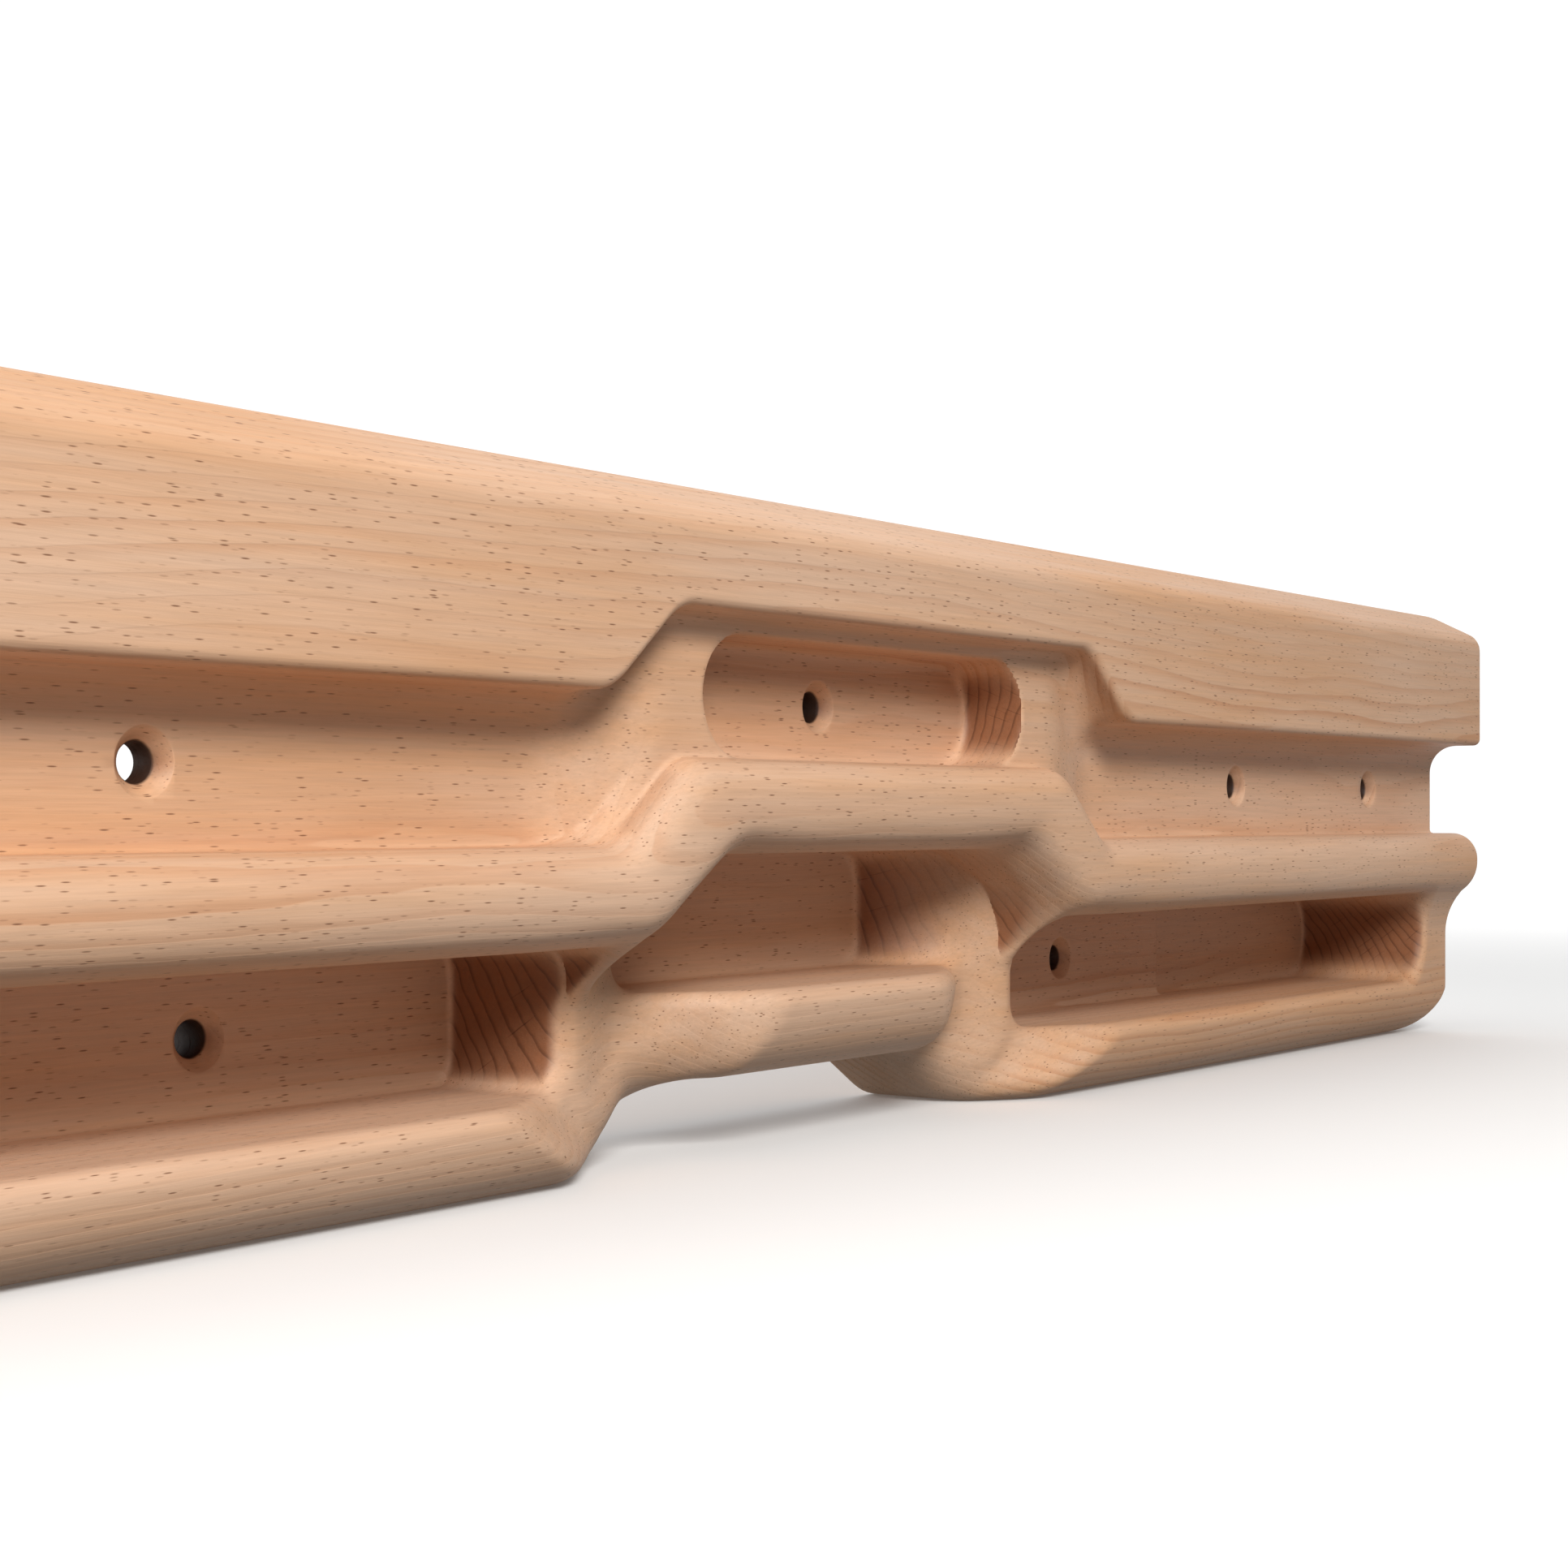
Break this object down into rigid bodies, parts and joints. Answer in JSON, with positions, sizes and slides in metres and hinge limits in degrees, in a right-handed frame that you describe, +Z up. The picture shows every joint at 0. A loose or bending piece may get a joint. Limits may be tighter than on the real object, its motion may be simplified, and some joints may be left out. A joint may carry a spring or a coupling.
{
  "type": "hangboard",
  "caption": "Climbing hangboard milled from one beech plank, with a sloping crown, a finger channel, a ridge, finger pockets and an arched underside between its feet.",
  "frame": {"origin": "middle of the footprint, on the plane that both feet rest on", "axes": "+X along the board to the climber's right, +Y into the wall behind the board, +Z up"},
  "size_m": [0.65, 0.06, 0.131],
  "materials": {
    "beech": "bare sanded beech with no varnish"
  },
  "bodies": {
    "root": {"board": "beech"}
  },
  "joints": []
}
